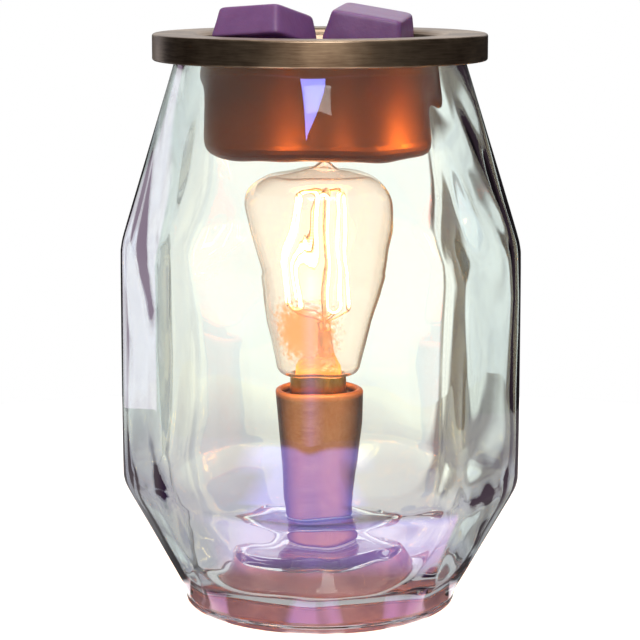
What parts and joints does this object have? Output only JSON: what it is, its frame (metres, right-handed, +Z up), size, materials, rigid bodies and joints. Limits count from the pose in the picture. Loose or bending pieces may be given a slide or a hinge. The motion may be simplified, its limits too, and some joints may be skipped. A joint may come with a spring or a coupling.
{
  "type": "electric wax warmer",
  "caption": "Plug-in wax warmer: faceted glass jar lit by a squirrel-cage bulb on a sleeved lamp holder, with a lift-off metal melting dish holding wax cubes.",
  "frame": {"origin": "on the table, under the middle of the glass foot", "axes": "+Z up, -Y towards the front, lead inlet at the back (+Y)"},
  "size_m": [0.1358, 0.1358, 0.206],
  "materials": {
    "jar_glass": "pressed clear glass with a vapour-coated iridescent lustre",
    "bronze_paint": "satin bronze-brown lacquer on pressed steel sheet",
    "black_rubber": "matt black rubber",
    "zinc_steel": "bright zinc plate",
    "clear_silicone": "translucent soft silicone",
    "sleeve_bronze": "metallic bronze lacquer on spun steel",
    "black_phenolic": "moulded phenolic",
    "brass_sheet": "rolled brass sheet",
    "dish_bronze": "spun metal with brushed antique bronze plating",
    "purple_wax": "scented paraffin wax, satin",
    "bulb_clear_glass": "blown clear glass with a faint amber tint",
    "black_vitrite": "fused black glass insulator",
    "solder": "tinned solder",
    "lead_wire": "nickel-iron wire",
    "filament_wire": "glowing carbon or tungsten filament"
  },
  "bodies": {
    "base": {"glass_jar": "jar_glass", "base_cover": "bronze_paint", "rubber_feet": "black_rubber", "cord_grommet": "black_rubber", "stem_pipe": "zinc_steel", "stem_locknuts": "zinc_steel", "cover_nut": "zinc_steel", "lower_rubber_washer": "black_rubber", "lower_steel_washer": "zinc_steel", "sleeve_washer": "clear_silicone", "socket_sleeve": "sleeve_bronze", "socket_body": "black_phenolic", "socket_bracket": "zinc_steel", "bracket_rivets": "zinc_steel", "socket_screw_shell": "brass_sheet", "socket_contact": "brass_sheet", "terminal_screws": "brass_sheet"},
    "seat_ring": {"dish_seat_ring": "clear_silicone"},
    "dish": {"wax_dish": "dish_bronze"},
    "wax_lower": {"wax_cubes_lower": "purple_wax"},
    "wax_left": {"wax_cube_left": "purple_wax"},
    "wax_right": {"wax_cube_right": "purple_wax"},
    "bulb": {"bulb_glass": "bulb_clear_glass", "bulb_cap": "brass_sheet", "bulb_insulator": "black_vitrite", "bulb_contact": "solder", "bulb_stem": "bulb_clear_glass", "bulb_leads": "lead_wire", "bulb_supports": "lead_wire", "bulb_filament": "filament_wire"}
  },
  "joints": [
    {"name": "dish_turn", "type": "hinge", "parent": "base", "child": "seat_ring", "pos_m": [0, 0, 0.194], "axis": [0, 0, 1], "continuous": true},
    {"name": "dish_lift", "type": "slide", "parent": "seat_ring", "child": "dish", "axis": [0, 0, 1], "range_m": [0, 0.12]},
    {"name": "wax_lift", "type": "slide", "parent": "dish", "child": "wax_lower", "axis": [0, 0, 1], "range_m": [0, 0.08]},
    {"name": "wax_left_lift", "type": "slide", "parent": "wax_lower", "child": "wax_left", "axis": [0, 0, 1], "range_m": [0, 0.06]},
    {"name": "wax_right_lift", "type": "slide", "parent": "wax_lower", "child": "wax_right", "axis": [0, 0, 1], "range_m": [0, 0.06]},
    {"name": "bulb_turn", "type": "hinge", "parent": "base", "child": "bulb", "pos_m": [0, 0, 0.07], "axis": [0, 0, 1], "continuous": true}
  ]
}
